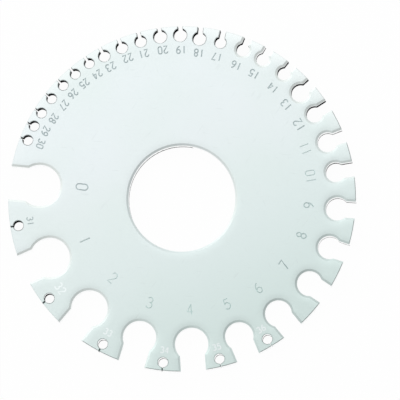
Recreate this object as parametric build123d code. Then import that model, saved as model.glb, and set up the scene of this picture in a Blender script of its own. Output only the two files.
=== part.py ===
from build123d import *
import os

# A round gauge for sheet metal: one flat steel plate with a ring of notches.
# Each notch is a parallel slot of a standard width that ends in a round relief
# hole. The sheet is tried in the slots, not in the holes. The plate lies on its
# back, face up, with its middle on the Z axis and its back at Z = 0.

os.makedirs("parts", exist_ok=True)

INCH = 25.4

# The plate
plate_dia = 3.25 * INCH
plate_thickness = 0.125 * INCH
bore_dia = 1.0 * INCH

# Slot widths follow the standard for sheet steel. They are counted in units of
# 1/1280 inch, from the widest down, in runs of (how many slots, step to each).
width_unit = INCH / 1280
widest_slot = 400
width_runs = ((1, 40), (13, 20), (2, 10), (4, 8), (6, 4), (5, 2), (5, 1))

# Relief holes, in runs of (how many notches, drill in 64ths of an inch, depth
# of the hole's centre in from the rim in millimetres)
drill_unit = INCH / 64
relief_runs = (
    (1, 25, 7.3),
    (1, 24, 7.0),
    (1, 22, 7.2),
    (1, 20, 6.7),
    (1, 20, 6.4),
    (1, 17, 5.6),
    (1, 16, 5.4),
    (1, 15, 4.7),
    (2, 14, 4.3),
    (2, 12, 4.3),
    (1, 10, 4.0),
    (1, 11, 3.6),
    (3, 8, 2.9),
    (1, 7, 2.9),
    (1, 8, 2.8),
    (2, 8, 2.1),
    (3, 7, 2.3),
    (13, 6, 1.95),
)

# Where the notches stand: the angle of the first one from +X, then the turn to
# each of the next, in degrees. They close up as the slots get narrower. The
# narrowest slots have no turn here: they stand midway between the widest ones.
first_angle = 174.2
turns = (
    29.6, 26.1, 23.2, 20.7, 18.6, 17.2, 16.2, 15.3, 14.6, 13.7,
    11.5, 11.4, 9.4, 9.1, 9.2, 7.8, 8.4, 7.6, 6.8, 7.0,
    7.0, 6.9, 6.8, 5.8, 6.1, 5.7, 6.1, 6.1, 5.2, 5.4,
)

# Edges on the face: the punch rolls a broad edge over round the bore and the
# wide notches, and leaves a small corner on the narrow ones and the rim.
broad_edge_width = 0.5
broad_edge_depth = 0.35
fine_edge = 0.15
broad_edged_notches = 17

# Corner on the back, where the burr is broken off
back_edge = 0.1

plate_radius = plate_dia / 2
bore_radius = bore_dia / 2
slot_excess = 1.0
on_curve = 0.001


def slot_widths():
    """Return the width of every slot, the widest first."""
    units = [widest_slot]
    for count, step in width_runs:
        for _ in range(count):
            units.append(units[-1] - step)
    return [unit * width_unit for unit in units]


def relief_holes():
    """Return the radius and the centre's depth from the rim of every relief hole."""
    holes = []
    for count, drill, depth in relief_runs:
        holes += [(drill * drill_unit / 2, depth)] * count
    return holes


def notch_angles(count):
    """Return the angle of every notch, counted from +X towards +Y."""
    angles = [first_angle]
    for turn in turns:
        angles.append(angles[-1] + turn)
    spare = count - len(angles)
    middles = [(angles[i] + angles[i + 1]) / 2 for i in range(spare)]
    return angles + middles


def notch_shapes():
    """Return the outline of every notch: the relief hole and the slot that runs out of it."""
    widths = slot_widths()
    places = zip(widths, relief_holes(), notch_angles(len(widths)))
    shapes = []
    for width, (radius, depth), angle in places:
        hole = Circle(radius)
        slot = Rectangle(depth + slot_excess, width, align=(Align.MIN, Align.CENTER))
        place = Rot(0, 0, angle) * Pos(plate_radius - depth, 0)
        shapes.append(place * (hole + slot))
    return shapes


def edges_along(face, outlines):
    """Return the edges of a level face that run along any of these outlines."""
    curves = [curve for outline in outlines for curve in outline.edges()]
    chosen = []
    for edge in face.edges():
        middle = edge @ 0.5
        spot = Vector(middle.X, middle.Y, 0)
        if any(curve.distance_to(spot) < on_curve for curve in curves):
            chosen.append(edge)
    return chosen


rim = Circle(plate_radius)
bore = Circle(bore_radius)
notches = notch_shapes()
plate = extrude(rim - bore - notches, plate_thickness)

# The broad edges first, then the small corners on the face and on the back
face = plate.faces().sort_by(Axis.Z)[-1]
broad = edges_along(face, [bore] + notches[:broad_edged_notches])
plate = chamfer(broad, broad_edge_width, broad_edge_depth, reference=face)

face = plate.faces().sort_by(Axis.Z)[-1]
fine = edges_along(face, [rim] + notches[broad_edged_notches:])
plate = chamfer(fine, fine_edge)

back = plate.faces().sort_by(Axis.Z)[0]
plate = chamfer(back.edges(), back_edge)

export_step(plate, "parts/gauge_plate.step")
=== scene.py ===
# %% [markdown]
# This lesson dresses a round steel gauge for sheet metal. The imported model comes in
# first and stays as it is: it says how big the plate is and where it lies. All that
# follows works on a copy, so the looks can never move or resize the real part.

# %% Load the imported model
import math

import bpy
from mathutils import Matrix, Vector
from mathutils.bvhtree import BVHTree


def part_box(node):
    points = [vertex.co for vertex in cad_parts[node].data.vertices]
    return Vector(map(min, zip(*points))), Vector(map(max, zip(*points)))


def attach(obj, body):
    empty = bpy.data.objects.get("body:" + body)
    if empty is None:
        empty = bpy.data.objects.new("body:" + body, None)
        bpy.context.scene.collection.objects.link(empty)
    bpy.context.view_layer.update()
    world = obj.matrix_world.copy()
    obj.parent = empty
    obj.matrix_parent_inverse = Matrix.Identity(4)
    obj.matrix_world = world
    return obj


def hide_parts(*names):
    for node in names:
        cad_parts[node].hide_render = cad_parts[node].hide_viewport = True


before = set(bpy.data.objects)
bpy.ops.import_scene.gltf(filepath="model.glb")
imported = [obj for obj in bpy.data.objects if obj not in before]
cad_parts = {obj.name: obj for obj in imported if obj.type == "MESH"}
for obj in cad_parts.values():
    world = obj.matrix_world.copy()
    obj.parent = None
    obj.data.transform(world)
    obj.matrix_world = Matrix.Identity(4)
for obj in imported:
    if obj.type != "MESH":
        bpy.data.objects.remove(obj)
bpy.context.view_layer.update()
mm = 0.001
low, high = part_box("gauge_plate")
face_height = high.z
plate_radius = (high.x - low.x) / 2
print("plate radius", round(plate_radius / mm, 3), "mm, face at", round(face_height / mm, 3), "mm")

# %% [markdown]
# The gauge lies face up and is seen from far away through a long lens, so the slots
# hardly spread in the picture. The camera leans a little towards the lower right. That
# is why the upper left walls of the holes show, and the lower right ones don't.

# %% Camera
image_width = 400
plate_middle_px = (181.8, 198.4)
px_per_mm = 4.22
lean = math.radians(8.5)
lean_side = math.radians(-65)
camera_distance = 2.5
sensor_width = 36.0

camera_data = bpy.data.cameras.new("camera")
camera = bpy.data.objects.new("camera", camera_data)
bpy.context.scene.collection.objects.link(camera)
bpy.context.scene.camera = camera

target = Vector((0, 0, face_height))
outward = Vector((math.sin(lean) * math.cos(lean_side),
                  math.sin(lean) * math.sin(lean_side),
                  math.cos(lean)))
side = Vector((0, 1, 0)).cross(outward).normalized()
upward = outward.cross(side)
camera.matrix_world = Matrix((
    (side.x, upward.x, outward.x, outward.x * camera_distance + target.x),
    (side.y, upward.y, outward.y, outward.y * camera_distance + target.y),
    (side.z, upward.z, outward.z, outward.z * camera_distance + target.z),
    (0, 0, 0, 1),
))
camera_data.sensor_width = sensor_width
camera_data.lens = px_per_mm / mm * camera_distance * sensor_width / image_width
camera_data.shift_x = (image_width / 2 - plate_middle_px[0]) / image_width
camera_data.shift_y = (plate_middle_px[1] - image_width / 2) / image_width
camera_data.clip_end = 10
print("lens", round(camera_data.lens), "mm")


# %% [markdown]
# Every piece is handled the same way: deselect all, take one object, work on it. The
# helpers below keep the later cells short. A Boolean stands in for the stamp and the
# press, because both leave the exact shape of the tool behind in the metal.

# %% Helpers for objects
def only(piece):
    """Select this object alone and make it the active one."""
    bpy.ops.object.select_all(action="DESELECT")
    piece.select_set(True)
    bpy.context.view_layer.objects.active = piece


def apply_place(piece):
    """Move an object's place, turn and size into its mesh."""
    only(piece)
    bpy.ops.object.transform_apply(location=True, rotation=True, scale=True)


def cut_away(piece, cutter):
    """Take the cutter's volume out of a piece and delete the cutter."""
    only(piece)
    cut = piece.modifiers.new("cut", "BOOLEAN")
    cut.operation = "DIFFERENCE"
    cut.solver = "EXACT"
    cut.object = cutter
    bpy.ops.object.modifier_apply(modifier=cut.name)
    bpy.data.objects.remove(cutter)


print("helpers ready")

# %% [markdown]
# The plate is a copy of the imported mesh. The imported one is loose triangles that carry
# their own shading, so the copy drops that shading and merges the corners: only a
# closed skin can be cut and shaded well. Two more materials mark what is stamped.

# %% A closed copy of the plate
merge_gap = 0.001 * mm
plate = bpy.data.objects.new("stamped_plate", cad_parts["gauge_plate"].data.copy())
bpy.context.scene.collection.objects.link(plate)
only(plate)
if plate.data.has_custom_normals:
    bpy.ops.mesh.customdata_custom_splitnormals_clear()
bpy.ops.object.mode_set(mode="EDIT")
bpy.ops.mesh.select_all(action="SELECT")
bpy.ops.mesh.remove_doubles(threshold=merge_gap)
bpy.ops.object.mode_set(mode="OBJECT")

steel = bpy.data.materials.new("satin_steel")
# The two stamp materials mark which lines get painted shade and which a painted highlight.
marks = [steel, bpy.data.materials.new("painted_shade_stamp"), bpy.data.materials.new("painted_highlight_stamp")]
plate.data.materials.clear()
for mark in marks:
    plate.data.materials.append(mark)
print("plate copy has", len(plate.data.polygons), "faces")

# %% [markdown]
# The numbers are hand stamps: one plain stroke each, struck into the face. Every digit
# is drawn here as a line in a box half as wide as it is tall. No line crosses itself,
# because a crossing spoils the cut, so four and five are made of two strokes.

# %% Strokes of the digits
arc_steps = 10


def arc(middle, radii, start, end):
    """Return points along part of an ellipse, angles in degrees."""
    steps = max(2, round(abs(end - start) / 180 * arc_steps))
    points = []
    for index in range(steps + 1):
        angle = math.radians(start + (end - start) * index / steps)
        points.append((middle[0] + radii[0] * math.cos(angle), middle[1] + radii[1] * math.sin(angle)))
    return points


six = [arc((0.25, 0.27), (0.25, 0.27), 0, 360)[:-1], arc((0.5, 0.27), (0.5, 0.73), 180, 100)]
strokes = {
    "0": [arc((0.25, 0.75), (0.25, 0.25), 0, 180) + arc((0.25, 0.25), (0.25, 0.25), 180, 360)],
    "1": [[(0.25, 0), (0.25, 1)]],
    "2": [arc((0.25, 0.74), (0.25, 0.26), 170, -20) + [(0, 0), (0.5, 0)]],
    "3": [arc((0.22, 0.76), (0.24, 0.24), 150, -90), arc((0.22, 0.27), (0.28, 0.27), 80, -150)],
    "4": [[(0.38, 0), (0.38, 1)], [(0.35, 0.97), (0, 0.3), (0.5, 0.3)]],
    "5": [[(0.46, 1), (0.06, 1), (0.04, 0.53)], arc((0.22, 0.32), (0.28, 0.32), 140, -150)],
    "6": six,
    "7": [[(0, 1), (0.5, 1), (0.15, 0)]],
    "8": [arc((0.25, 0.76), (0.21, 0.24), 0, 360)[:-1], arc((0.25, 0.26), (0.25, 0.26), 0, 360)[:-1]],
    "9": [[(0.5 - x, 1 - y) for x, y in stroke] for stroke in six],
}
closed = {("0", 0), ("6", 0), ("9", 0), ("8", 0), ("8", 1)}
print(sum(len(lines) for lines in strokes.values()), "strokes for ten digits")

# %% [markdown]
# Each number stands beside its notch with its foot towards the rim. The angles are
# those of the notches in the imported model. A label is how far out its middle is, how
# far it is turned from its notch, and how tall it is: all struck by eye, so all differ.

# %% Where the numbers stand
angles = [
    174.2, 203.8, 229.9, 253.1, 273.8, 292.4, 309.6, 325.8, 341.1, 355.7,
    369.4, 380.9, 392.3, 401.7, 410.8, 420.0, 427.8, 436.2, 443.8, 450.6,
    457.6, 464.6, 471.5, 478.3, 484.1, 490.2, 495.9, 502.0, 508.1, 513.3,
    518.7, 189.0, 216.85, 241.5, 263.45, 283.1, 301.0,
]
labels = [
    (23.9, -1.3, 3.1), (24.98, -0.8, 2.9), (24.94, -0.8, 2.8), (25.98, 0, 2.8), (26.62, 0.3, 2.7),
    (27.5, 0.6, 2.7), (28.15, 0.4, 2.7), (29.13, 0.6, 2.7), (29.79, 1.2, 2.6), (30.2, 0.7, 2.6),
    (31.0, -0.2, 2.5), (31.6, 0.8, 2.4), (32.82, -0.4, 2.3), (33.26, 0.1, 2.1), (34.03, -0.3, 2),
    (34.25, -0.1, 2), (34.27, 0, 2), (34.86, -0.1, 2), (35.04, -0.5, 2), (35.6, -0.4, 2),
    (35.87, -0.4, 2), (35.9, 0, 2), (36.1, -0.7, 2), (35.89, -0.2, 2), (36, -0.2, 1.9),
    (36.15, -0.3, 1.9), (36.14, -0.2, 1.9), (36, -0.9, 1.9), (36.1, -0.6, 1.9), (36.3, -0.2, 1.9),
    (36.09, -0.4, 1.9), (36.36, -0.9, 1.7), (35.8, -0.4, 2.1), (36.3, -0.3, 1.7), (36.37, 0.1, 1.7),
    (36.45, 0, 1.7), (36.5, 0, 1.7),
]
print(len(labels), "numbers beside", len(angles), "notches")

# %% [markdown]
# A stamp's edge is a thin wedge, so each stroke becomes a thin square rod lying on one
# corner, half sunk into the face. The faintest numbers get finer rods. They are cut in
# two rounds, one stroke of every digit at a time, so that no rods cross inside a round.

# %% Strike the numbers
half_line = 0.17
width_at_face = 0.83
light_width = 0.8
pitch = 0.78
light_strikes = {2, 3, 4, 5, 6, 10, 11, 31}
bright_from = 32
rod_height = 0.02
second_round_lower = 0.004
rod_merge_gap = 0.0005 * mm


def rods(turn_of_cut):
    """Return one rod for this stroke of every digit, lying across the face."""
    lines = bpy.data.curves.new("number_lines", "CURVE")
    lines.dimensions = "3D"
    lines.bevel_depth = half_line * mm
    lines.bevel_resolution = 0
    lines.use_fill_caps = True
    for mark in marks:
        lines.materials.append(mark)
    for number, (angle, (radius, offset, overall)) in enumerate(zip(angles, labels)):
        thin = light_width if number in light_strikes else 1
        tall = overall - 2 * half_line * thin * width_at_face
        turn = math.radians(angle + offset)
        out = Vector((math.cos(turn), math.sin(turn), 0))
        up = -out
        across = Vector((up.y, -up.x, 0))
        text = str(number)
        for place, digit in enumerate(text):
            if len(strokes[digit]) <= turn_of_cut:
                continue
            stroke = strokes[digit][turn_of_cut]
            shift = (place - (len(text) - 1) / 2) * pitch - 0.25
            spline = lines.splines.new("POLY")
            spline.points.add(len(stroke) - 1)
            spline.material_index = 2 if number >= bright_from else 1
            spline.use_cyclic_u = (digit, turn_of_cut) in closed
            for point, (x, y) in zip(spline.points, stroke):
                spot = out * radius + across * (x + shift) * tall + up * (y - 0.5) * tall
                point.co = (spot.x * mm, spot.y * mm, 0, 1)
                point.radius = thin
    cutter = bpy.data.objects.new("number_cutter", lines)
    bpy.context.scene.collection.objects.link(cutter)
    only(cutter)
    bpy.ops.object.convert(target="MESH")
    return bpy.context.active_object


for turn_of_cut in (0, 1):
    cutter = rods(turn_of_cut)
    cutter.location.z = face_height + (rod_height - second_round_lower * turn_of_cut) * mm
    apply_place(cutter)
    bpy.ops.object.mode_set(mode="EDIT")
    bpy.ops.mesh.select_all(action="SELECT")
    bpy.ops.mesh.remove_doubles(threshold=rod_merge_gap)
    bpy.ops.mesh.normals_make_consistent(inside=False)
    bpy.ops.object.mode_set(mode="OBJECT")
    cut_away(plate, cutter)
stamped = sum(polygon.material_index > 0 for polygon in plate.data.polygons)
print("numbers struck:", len(plate.data.polygons), "faces,", stamped, "of them stamped")

# %% [markdown]
# So far the face is one flat sheet, and a flat sheet can't roll over at its edges. It
# is cut into small squares, which give it points all over. The rest of the mesh is
# hidden meanwhile: an operator skips what is hidden, and the cuts go much faster.

# %% Squares on the face
flat_enough = 0.999
level_enough = math.radians(0.1)
square = 0.55 * mm
first_cut = 0.37
cut_gap = 0.002 * mm
only(plate)
bpy.ops.object.mode_set(mode="EDIT")
bpy.ops.mesh.select_mode(type="FACE")
bpy.ops.mesh.select_all(action="DESELECT")
bpy.ops.object.mode_set(mode="OBJECT")
for polygon in plate.data.polygons:
    polygon.select = polygon.normal.z > flat_enough
bpy.ops.object.mode_set(mode="EDIT")
bpy.ops.mesh.dissolve_limited(angle_limit=level_enough, use_dissolve_boundaries=False)
bpy.ops.mesh.hide(unselected=True)
cuts = int(plate_radius / square)
for axis in (Vector((1, 0, 0)), Vector((0, 1, 0))):
    for step in range(-cuts, cuts + 1):
        bpy.ops.mesh.select_all(action="SELECT")
        spot = axis * (step + first_cut) * square
        bpy.ops.mesh.bisect(plane_co=spot, plane_no=axis, threshold=cut_gap)
bpy.ops.mesh.reveal(select=False)
bpy.ops.object.mode_set(mode="OBJECT")
print("face cut into squares:", len(plate.data.polygons), "faces")

# %% [markdown]
# A punch drags the metal down with it before it breaks through, so the face dips a
# little round the bore and the wide notches. This is the die roll. The broad edges of
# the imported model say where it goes: they are the triangles with just that slope.

# %% Die roll
broad_slope = (0.78, 0.86)
roll_width = 1.4 * mm
roll_depth = 0.04 * mm
broad_edge_depth = 0.35 * mm
on_edge = 0.02 * mm
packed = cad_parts["gauge_plate"]
corners = [packed.matrix_world @ vertex.co for vertex in packed.data.vertices]
to_world = packed.matrix_world.to_3x3()
broad = [tuple(polygon.vertices) for polygon in packed.data.polygons
         if broad_slope[0] < (to_world @ polygon.normal).normalized().z < broad_slope[1]]
broad_edges = BVHTree.FromPolygons(corners, broad)


def roll_at(spot):
    """Return how far the face drops at a spot, and which way and how far it leans."""
    nearest, normal, index, gap = broad_edges.find_nearest(spot)
    if gap >= roll_width:
        return 0.0, Vector((0, 0, 0))
    rest = 1 - gap / roll_width
    towards = nearest - spot
    if gap < on_edge:
        towards = normal
    towards = Vector((towards.x, towards.y, 0)).normalized()
    return roll_depth * rest * rest, towards * (2 * roll_depth / roll_width * rest)


moved = 0
for vertex in plate.data.vertices:
    above = vertex.co.z - (face_height - broad_edge_depth)
    if above > 0:
        drop = roll_at(vertex.co)[0]
        vertex.co.z -= drop * above / broad_edge_depth
        moved += drop > 0
print(len(broad), "triangles on the broad edges,", moved, "points lowered beside them")

# %% [markdown]
# Smooth shading guesses the slope from the faces round a point, and long thin faces
# make it guess badly. The slope of the roll is known, so it is written down for each
# corner of the face instead. The bright stamps are shaded as if they were level, so that
# they catch the light. All other faces keep the slope that Blender works out.

# %% Shading of the rolled edges
smooth_up_to = math.radians(18)
face_slope = 0.98
steep = 0.3
only(plate)
bpy.ops.object.shade_smooth_by_angle(angle=smooth_up_to)
mesh = plate.data
normals = [Vector((0, 0, 0))] * len(mesh.loops)
for polygon in mesh.polygons:
    if polygon.normal.z > face_slope and polygon.material_index == 0:
        for loop in polygon.loop_indices:
            spot = mesh.vertices[mesh.loops[loop].vertex_index].co
            leaning = roll_at(Vector((spot.x, spot.y, face_height)))[1]
            normals[loop] = (leaning + Vector((0, 0, 1))).normalized()
    elif polygon.normal.z > steep and polygon.material_index == 2:
        for loop in polygon.loop_indices:
            normals[loop] = Vector((0, 0, 1))
mesh.normals_split_custom_set(normals)
print(sum(normal.z > 0 for normal in normals), "corners shaded by hand")

# %% [markdown]
# The material has to know what each face is. Four numbers are stored on the faces:
# whether it is a wall, how far up from the back a wall gets painted shade, how much painted
# shade a stamped line gets (-1 for a painted highlight), and the painted light of a broken
# edge, from 1 for a painted highlight to -1 for painted shade. A wall belongs to the notch
# whose middle line it lies nearest to. The tones were set notch by notch: one plain steel
# would make all the notches alike.

# %% What each face is
drills = [25, 24, 22, 20, 20, 17, 16, 15, 14, 14, 12, 12, 10, 11,
          8, 8, 8, 7, 8, 8, 8, 7, 7, 7] + [6] * 13
# Painted shade on the walls: for each notch, how far up from the back its walls are painted black. The
# narrow holes are painted black all the way up.
wholly_dark = 1.5
painted_shade_up_to = ([0.0] * 8 + [0.2, 0.3, 0.45, 0.3, 0.75, 0.8, 0.8, 0.5, 0.8, 0.9]
              + [wholly_dark] * 14 + [0.7] + [0.3] * 4)
# Painted light on the broken edges, notch by notch: above 0 a painted highlight, below 0 painted shade.
edge_light_levels = ([1, 0.9, 0.6, 0.2, 0, -0.1, -0.25, -0.25, -0.1, 0.1, 0.4, 0.4, 0.5]
              + [0.9] * 4 + [0.1] * 20)
# How much painted shade the stamped lines beside each notch get; the bright numbers get a painted highlight
# instead.
stamp_shade_levels = ([0.6, 0.3, 0, 0, 0, 0.1, 0.3, 0.7, 0.3, 0.3, 0.1, 0, 0.6, 0.5, 0.5, 0.7, 0.6, 0.6]
               + [0.8] * 12 + [0.6] * 7)
past_bore = 14 * mm
# The bore's walls get painted shadow low down on the upper left side.
bore_dark_side = math.radians(140)
bore_dark_reach = math.radians(60)
bore_dark_up_to = 0.3
# The bore's edge gets a painted highlight on its right side.
bore_edge_highlight = 0.7
rim_wall = plate_radius - 0.02 * mm
rim_edge = plate_radius - 0.16 * mm
# The rim's broken edge gets painted shade along its lower right side.
rim_dark_side = math.radians(-50)
rim_dark_reach = math.radians(85)
rim_edge_shade = -0.7
narrow_from = 32
mouth = plate_radius - 1.0 * mm
below_edges = face_height - 0.14 * mm
edge_slope = (0.5, 0.95)
names = ("wall", "painted_shade_up_to", "stamp", "edge_tone")
for name in names:
    mesh.attributes.new(name, "FLOAT", "FACE")
wall, dark, stamp, tone = (mesh.attributes[name].data for name in names)
axes = [(math.cos(math.radians(angle)), math.sin(math.radians(angle))) for angle in angles]


def nearest_notch(x, y):
    """Return the number of the notch whose middle line is nearest for its size."""
    off_axis = [abs(x * ay - y * ax) / drill if x * ax + y * ay > 0 else 1
                for (ax, ay), drill in zip(axes, drills)]
    return off_axis.index(min(off_axis))


def faces_side(x, y, side_angle, reach):
    """Say whether a place lies within this reach of an angle, seen from the middle."""
    return math.cos(math.atan2(y, x) - side_angle) > math.cos(reach)


def wall_tone(x, y):
    """Return how far up a wall gets painted shade at this place."""
    radius = math.hypot(x, y)
    if radius < past_bore:
        return bore_dark_up_to if faces_side(x, y, bore_dark_side, bore_dark_reach) else 0.0
    if radius > rim_wall:
        return 0.0
    nearest = nearest_notch(x, y)
    if nearest >= narrow_from and radius > mouth:
        return wholly_dark
    return painted_shade_up_to[nearest]


def edge_tone(x, y):
    """Return the painted light of the broken edge at this place: above 0 a painted highlight, below 0
    painted shade.
    """
    radius = math.hypot(x, y)
    if radius > rim_edge:
        return rim_edge_shade if faces_side(x, y, rim_dark_side, rim_dark_reach) else 0
    if radius > past_bore:
        return edge_light_levels[nearest_notch(x, y)]
    return max(0, bore_edge_highlight * x / radius)


for polygon in mesh.polygons:
    centre = polygon.center
    if polygon.material_index:
        strength = stamp_shade_levels[nearest_notch(centre.x, centre.y)]
        stamp[polygon.index].value = (0, strength, -1)[polygon.material_index]
    elif abs(polygon.normal.z) < steep and centre.z < below_edges:
        wall[polygon.index].value = 1
        dark[polygon.index].value = wall_tone(centre.x, centre.y)
    elif edge_slope[0] < polygon.normal.z < edge_slope[1]:
        tone[polygon.index].value = edge_tone(centre.x, centre.y)
    polygon.material_index = 0
print(sum(item.value for item in wall), "wall faces,", sum(item.value > 0 for item in dark), "of them dark")

# %% [markdown]
# The finish is bare steel, tumbled to a soft satin. It is built from small helpers that
# each add one node. First the light things: a very slow drift between a bluish and a
# greenish grey, a fine grain, and a few faint scratches that lie in all directions.

# %% Node helpers
steel.use_nodes = True
nodes = steel.node_tree.nodes
links = steel.node_tree.links
shader = nodes["Principled BSDF"]
shader.inputs["Specular IOR Level"].default_value = 0


def plug(node, values):
    """Link or set a node's inputs by name or number."""
    for name, value in values.items():
        if isinstance(value, bpy.types.NodeSocket):
            links.new(value, node.inputs[name])
        else:
            node.inputs[name].default_value = value


def value_of(name):
    """Read a number stored on the faces."""
    node = nodes.new("ShaderNodeAttribute")
    node.attribute_name = name
    return node.outputs["Fac"]


def blend(factor, first, second):
    """Mix two colours by a factor."""
    node = nodes.new("ShaderNodeMix")
    node.data_type = "RGBA"
    plug(node, {"Factor": factor, "A": first, "B": second})
    return node.outputs["Result"]


def ranged(value, low_end, high_end, at_low, at_high):
    """Map a value from one range to another and clamp it."""
    node = nodes.new("ShaderNodeMapRange")
    plug(node, {"Value": value, "From Min": low_end, "From Max": high_end,
                "To Min": at_low, "To Max": at_high})
    return node.outputs["Result"]


def combine(operation, first, second):
    """Combine two values by a sum, a product and so on."""
    node = nodes.new("ShaderNodeMath")
    node.operation = operation
    plug(node, {0: first, 1: second})
    return node.outputs[0]


def noise(coordinates, scale, detail=2.0):
    """Return a noise value for these coordinates."""
    node = nodes.new("ShaderNodeTexNoise")
    plug(node, {"Vector": coordinates, "Scale": scale, "Detail": detail})
    return node.outputs["Fac"]


def stretched(coordinates, turn, sizes):
    """Return the coordinates turned about Z and stretched."""
    node = nodes.new("ShaderNodeMapping")
    node.vector_type = "TEXTURE"
    node.inputs["Rotation"].default_value = (0, 0, turn)
    node.inputs["Scale"].default_value = sizes
    links.new(coordinates, node.inputs["Vector"])
    return node.outputs["Vector"]


place = nodes.new("ShaderNodeTexCoord").outputs["Object"]
split = nodes.new("ShaderNodeSeparateXYZ")
links.new(place, split.inputs[0])
east, north, height = split.outputs
print("node helpers ready")

# %% [markdown]
# The stones of the tumbler leave short fine scratches. A noise stretched long and thin
# gives them, and only its highest ridges are kept. Three turns of it lie across each
# other. The grain is a fine noise that only changes the roughness and a hair of height.
# Towards the lower right the face turns a little greener.

# %% Grain and scratches
grain = noise(place, 2600, 3)
scratches = 0
for turn, scale in ((0.4, 1900), (1.5, 2300), (2.5, 1500)):
    streak = noise(stretched(place, turn, (1, 7, 1)), scale, 1)
    scratches = combine("MAXIMUM", ranged(streak, 0.70, 0.78, 0, 1), scratches)
drift = noise(place, 45, 1)
greenish, bluish = (0.785, 0.862, 0.855, 1), (0.81, 0.872, 0.885, 1)
lower_right_green, scratched = (0.76, 0.885, 0.86, 1), (0.6, 0.66, 0.66, 1)
scratch_share = 0.15
face_colour = blend(ranged(drift, 0.35, 0.65, 0, 1), greenish, bluish)
lower_right = combine("SUBTRACT", combine("MULTIPLY", east, 0.5), combine("MULTIPLY", north, 0.87))
# A greener tint that grows towards the lower right.
greener_to_lower_right = ranged(lower_right, -10 * mm, 35 * mm, 0, 1)
face_colour = blend(greener_to_lower_right, face_colour, lower_right_green)
face_colour = blend(combine("MULTIPLY", scratches, scratch_share), face_colour, scratched)
print("grain, scratches and drift made")

# %% [markdown]
# Hands and sheet metal polish the rim, most of all along the upper side with the fine slots,
# which makes it smoother, and a painted highlight makes it almost white there. The mask grows
# towards the rim and the upper side, and fades round it.

# %% Polished rim and painted highlight
polished_width = 3.2 * mm
polish_highlight_share = 0.5
squares = combine("ADD", combine("MULTIPLY", east, east), combine("MULTIPLY", north, north))
radius = combine("SQRT", squares, 0)
near_rim = ranged(radius, plate_radius - polished_width, plate_radius, 0, 1)
upper_side = ranged(combine("DIVIDE", north, radius), 0.1, 0.85, 0, 1)
polish_and_highlight = combine("MULTIPLY", combine("MULTIPLY", near_rim, upper_side), ranged(drift, 0.2, 0.5, 0.7, 1))
# Painted highlight: the polished rim is whitened towards the upper side.
face_colour = blend(combine("MULTIPLY", polish_and_highlight, polish_highlight_share), face_colour, (0.97, 0.99, 0.99, 1))
print("rim polish made")

# %% [markdown]
# Inside the notches the punch leaves a burnished wall with faint upright streaks, made
# nearly white partly by a painted highlight of the white table it mirrors. Low down, and
# in the narrow holes all the way up, painted shade makes the wall black. The painted shade
# is also less metallic, so that it does not mirror the light. The broken edges get painted
# highlights and painted shade notch by notch, and painted shade along the lower right rim.

# %% Walls, stamped lines and painted light
is_wall = value_of("wall")
streaks = noise(stretched(place, 0, (1, 1, 20)), 1800, 2)
# The near-white is partly a burnished wall and partly a painted highlight of the white table it mirrors.
wall_colour = blend(ranged(streaks, 0.4, 0.7, 0, 1), (0.98, 0.99, 0.99, 1), (0.9, 0.92, 0.92, 1))
above_back = combine("DIVIDE", height, face_height)
ragged = combine("MULTIPLY", combine("SUBTRACT", streaks, 0.5), 0.25)
below = combine("ADD", combine("SUBTRACT", value_of("painted_shade_up_to"), above_back), ragged)
# Painted shade: each wall is painted black up to its own height, with a ragged edge.
painted_wall_shade = combine("MULTIPLY", ranged(below, -0.04, 0.06, 0, 1), ranged(value_of("painted_shade_up_to"), 0, 0.1, 0, 1))
# Painted shade in the dark stamped lines, and a painted highlight on the bright ones.
painted_shade_stamp = ranged(value_of("stamp"), 0, 1, 0, 1)
painted_highlight_stamp = ranged(value_of("stamp"), 0, -1, 0, 1)
# Painted highlight and painted shade on the broken edges.
painted_edge_highlight = ranged(value_of("edge_tone"), 0, 1, 0, 1)
painted_edge_shade = ranged(value_of("edge_tone"), 0, -1, 0, 1)
face_colour = blend(painted_edge_highlight, face_colour, (0.93, 0.99, 0.97, 1))
face_colour = blend(painted_edge_shade, face_colour, (0.3, 0.33, 0.33, 1))
colour = blend(is_wall, face_colour, wall_colour)
colour = blend(painted_wall_shade, colour, (0.01, 0.01, 0.01, 1))
colour = blend(painted_shade_stamp, colour, (0.63, 0.69, 0.70, 1))
colour = blend(painted_highlight_stamp, colour, (0.93, 1.0, 1.0, 1))
print("walls and stamps coloured")

# %% [markdown]
# All masks meet in one shader. Walls are smoother than the face, the grain moves the
# roughness a little, and grain and scratches together raise a bump far thinner than a
# hair. That is enough to break up a reflection without drawing lines on the metal.

# %% Steel shader
rough = ranged(grain, 0.3, 0.7, 0.31, 0.39)
rough = combine("SUBTRACT", rough, combine("MULTIPLY", polish_and_highlight, 0.08))
rough = combine("SUBTRACT", rough, combine("MULTIPLY", is_wall, 0.2))
bump = nodes.new("ShaderNodeBump")
bump.inputs["Distance"].default_value = 0.004 * mm
bump.inputs["Strength"].default_value = 0.5
links.new(combine("SUBTRACT", grain, combine("MULTIPLY", scratches, 0.6)), bump.inputs["Height"])
plug(shader, {
    "Base Color": colour,
    "Roughness": rough,
    # The painted shade is less metallic, so that it stays black.
    "Metallic": combine("SUBTRACT", 1.0, painted_wall_shade),
    "Normal": bump.outputs["Normal"],
})
while len(plate.data.materials) > 1:
    plate.data.materials.pop()

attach(plate, "root")
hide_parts("gauge_plate")
print("steel has", len(nodes), "nodes")

# %% [markdown]
# The picture has a pure white ground, and metal mirrors it. So the table glows for the
# camera and for reflections only, where a strength of one is white. A small share of
# plain paint is left in it, which keeps the shadow of the plate and lights nothing.

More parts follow.
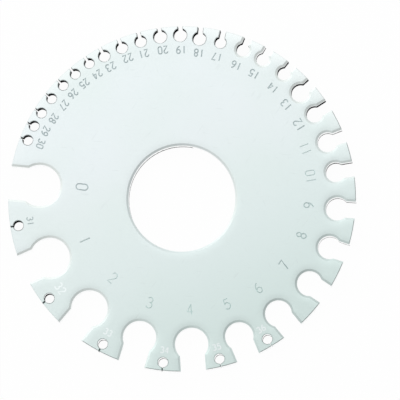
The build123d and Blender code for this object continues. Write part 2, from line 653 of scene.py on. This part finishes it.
# %% Table
glow_share = 0.97
bpy.ops.mesh.primitive_plane_add(size=3, location=(0, 0, -0.02 * mm))
table = bpy.context.active_object
table.name = "table"
apply_place(table)
paper = bpy.data.materials.new("white_table")
paper.use_nodes = True
tree = paper.node_tree
tree.nodes.clear()
surface = tree.nodes.new("ShaderNodeOutputMaterial")
mix = tree.nodes.new("ShaderNodeMixShader")
diffuse = tree.nodes.new("ShaderNodeBsdfDiffuse")
diffuse.inputs["Color"].default_value = (0.95, 0.95, 0.95, 1)
glow = tree.nodes.new("ShaderNodeEmission")
path = tree.nodes.new("ShaderNodeLightPath")
seen = path.outputs["Is Camera Ray"]
for ray in ("Is Glossy Ray", "Is Transmission Ray"):
    either = tree.nodes.new("ShaderNodeMath")
    either.operation = "MAXIMUM"
    tree.links.new(seen, either.inputs[0])
    tree.links.new(path.outputs[ray], either.inputs[1])
    seen = either.outputs[0]
share = tree.nodes.new("ShaderNodeMath")
share.operation = "MULTIPLY"
share.inputs[1].default_value = glow_share
tree.links.new(seen, share.inputs[0])
tree.links.new(share.outputs[0], mix.inputs["Fac"])
tree.links.new(diffuse.outputs[0], mix.inputs[1])
tree.links.new(glow.outputs[0], mix.inputs[2])
tree.links.new(mix.outputs[0], surface.inputs["Surface"])
table.data.materials.append(paper)
print("table is", table.dimensions.x, "m wide")

# %% [markdown]
# A flat metal face shows the room above it. The room here is a plain grey, brighter at
# the upper left, a little lighter again low down all round, and dark along the horizon
# at the lower right. The face looks up and sees little of the last two, but the broken
# edges do: the light band lifts them, and the dark strip draws the line on the far rim.

# %% Room
world = bpy.data.worlds.new("studio")
bpy.context.scene.world = world
world.use_nodes = True
room = world.node_tree
background = room.nodes["Background"]
coordinates = room.nodes.new("ShaderNodeTexCoord")
bright_side = room.nodes.new("ShaderNodeVectorMath")
bright_side.operation = "DOT_PRODUCT"
bright_side.inputs[1].default_value = (-0.75, 0.66, 0)
ramp = room.nodes.new("ShaderNodeValToRGB")
levels = ((0.0, 0.41), (0.17, 0.52), (0.4, 0.61), (0.8, 0.61), (0.92, 0.75), (1.0, 0.85))
stops = ramp.color_ramp.elements
stops.remove(stops[1])
for position, level in levels[1:]:
    stops.new(position).color = (level, level, level, 1)
stops[0].color = (levels[0][1], levels[0][1], levels[0][1], 1)
room.links.new(coordinates.outputs["Generated"], bright_side.inputs[0])
direction = room.nodes.new("ShaderNodeSeparateXYZ")
room.links.new(coordinates.outputs["Generated"], direction.inputs[0])


def room_range(value, low_end, high_end, at_low, at_high):
    """Map a direction's value from one range to another and clamp it."""
    node = room.nodes.new("ShaderNodeMapRange")
    numbers = {"From Min": low_end, "From Max": high_end, "To Min": at_low, "To Max": at_high}
    for name, number in numbers.items():
        node.inputs[name].default_value = number
    room.links.new(value, node.inputs["Value"])
    return node.outputs["Result"]


room.links.new(room_range(bright_side.outputs["Value"], -1, 1, 0, 1), ramp.inputs["Fac"])
horizon = room_range(direction.outputs["Z"], 0.04, 0.22, 1, 0)
far_side = room_range(bright_side.outputs["Value"], -0.1, 0.1, 0.85, 0)
low_band = room_range(direction.outputs["Z"], 0.45, 0.65, 0.18, 0)
strip = room.nodes.new("ShaderNodeMath")
strip.operation = "MULTIPLY"
room.links.new(horizon, strip.inputs[0])
room.links.new(far_side, strip.inputs[1])
lighter = room.nodes.new("ShaderNodeMath")
lighter.operation = "ADD"
room.links.new(ramp.outputs["Color"], lighter.inputs[0])
room.links.new(low_band, lighter.inputs[1])
darker = room.nodes.new("ShaderNodeMix")
darker.data_type = "RGBA"
darker.inputs["B"].default_value = (0, 0, 0, 1)
room.links.new(strip.outputs[0], darker.inputs["Factor"])
room.links.new(lighter.outputs[0], darker.inputs["A"])
room.links.new(darker.outputs["Result"], background.inputs["Color"])
background.inputs["Strength"].default_value = 1.0
print(len(stops), "grey levels round the room")

# %% [markdown]
# One large soft lamp hangs over the upper left. Its edge stands above the middle of the
# plate, where the face mirrors it, so the metal gets slowly darker towards the lower
# right. It is weak: a lamp adds its light to the room behind it.

# %% Lamp
lamp_size = 0.6
lamp_height = 0.25
lamp_level = 0.4
lamp_side = math.radians(115)
lamp_edge = 0.004
watts_per_level = 4
lamp_data = bpy.data.lights.new("softbox", "AREA")
lamp_data.shape = "SQUARE"
lamp_data.size = lamp_size
lamp_data.energy = lamp_level * watts_per_level * lamp_size ** 2
lamp = bpy.data.objects.new("softbox", lamp_data)
bpy.context.scene.collection.objects.link(lamp)
lamp_out = lamp_edge + lamp_size / 2
lamp.location = (lamp_out * math.cos(lamp_side), lamp_out * math.sin(lamp_side), lamp_height)
lamp.rotation_euler = (0, 0, lamp_side)
bpy.context.scene.view_settings.view_transform = "Standard"
print("lamp of", round(lamp_data.energy, 2), "W")
